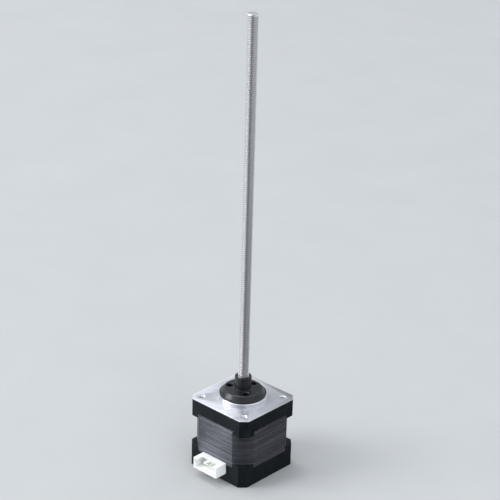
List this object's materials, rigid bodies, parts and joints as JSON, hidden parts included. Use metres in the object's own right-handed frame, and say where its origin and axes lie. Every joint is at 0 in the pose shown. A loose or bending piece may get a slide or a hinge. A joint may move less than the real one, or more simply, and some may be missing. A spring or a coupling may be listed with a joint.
{
  "type": "stepper motor with lead screw",
  "caption": "Square hybrid stepper motor whose rotor shaft is a long lead screw, with a flanged round nut on it and a side-entry connector.",
  "frame": {"origin": "where the screw's axis meets the motor's rear face", "axes": "+Z along the screw, out of the mounting face; the connector is on the -Y side"},
  "size_m": [0.0352, 0.0416, 0.214],
  "materials": {
    "front_cap_metal": "face and pilot machined bright, sides satin black paint",
    "rear_cap_metal": "die cast, satin black paint",
    "laminations": "stacked sheet edges, fine horizontal lines",
    "insulator_plastic": "moulded, matt",
    "enamelled_copper": "enamelled copper wire",
    "screw_steel": "zinc plated",
    "bearing_steel": "ground and polished",
    "shield_steel": "pressed sheet",
    "connector_plastic": "moulded white nylon",
    "tinned_contacts": "tin plated",
    "board_laminate": "glass-epoxy board with solder mask",
    "screw_stainless": "rolled thread, bright",
    "rotor_steel": "stacked sheet",
    "magnet": "nickel plated",
    "cage_plastic": "moulded nylon",
    "nut_acetal": "moulded black acetal, semi-gloss"
  },
  "bodies": {
    "motor": {"front_cap": "front_cap_metal", "rear_cap": "rear_cap_metal", "stator_core": "laminations", "front_insulator": "insulator_plastic", "rear_insulator": "insulator_plastic", "phase_a_windings": "enamelled_copper", "phase_b_windings": "enamelled_copper", "case_screws": "screw_steel", "front_bearing_outer_ring": "bearing_steel", "front_bearing_shields": "shield_steel", "rear_bearing_outer_ring": "bearing_steel", "rear_bearing_shields": "shield_steel", "preload_washer": "shield_steel", "connector_housing": "connector_plastic", "connector_pins": "tinned_contacts", "connector_board": "board_laminate", "winding_leads": "enamelled_copper"},
    "rotor": {"lead_screw": "screw_stainless", "rotor_cup_front": "rotor_steel", "rotor_magnet": "magnet", "rotor_cup_rear": "rotor_steel", "front_spacer": "shield_steel", "rear_spacer": "shield_steel", "front_bearing_inner_ring": "bearing_steel", "rear_bearing_inner_ring": "bearing_steel"},
    "front_ball_set": {"front_bearing_balls": "bearing_steel", "front_bearing_cage": "cage_plastic"},
    "rear_ball_set": {"rear_bearing_balls": "bearing_steel", "rear_bearing_cage": "cage_plastic"},
    "nut": {"lead_nut": "nut_acetal"}
  },
  "joints": [
    {"name": "screw_spin", "type": "hinge", "parent": "motor", "child": "rotor", "pos_m": [0, 0, 0.034], "axis": [0, 0, 1], "range_deg": [-30240, 0]},
    {"name": "nut_travel", "type": "slide", "parent": "motor", "child": "nut", "axis": [0, 0, 1], "range_m": [0, 0.1681]},
    {"name": "front_cage_orbit", "type": "hinge", "parent": "motor", "child": "front_ball_set", "pos_m": [0, 0, 0.0324], "axis": [0, 0, 1], "range_deg": [-11765, 0]},
    {"name": "rear_cage_orbit", "type": "hinge", "parent": "motor", "child": "rear_ball_set", "pos_m": [0, 0, 0.0041], "axis": [0, 0, 1], "range_deg": [-11765, 0]}
  ],
  "couplings": [
    {"joint": "nut_travel", "follows": "screw_spin", "m_per_rad": -0.00031831},
    {"joint": "front_cage_orbit", "follows": "screw_spin", "ratio": 0.38889},
    {"joint": "rear_cage_orbit", "follows": "screw_spin", "ratio": 0.38889}
  ]
}
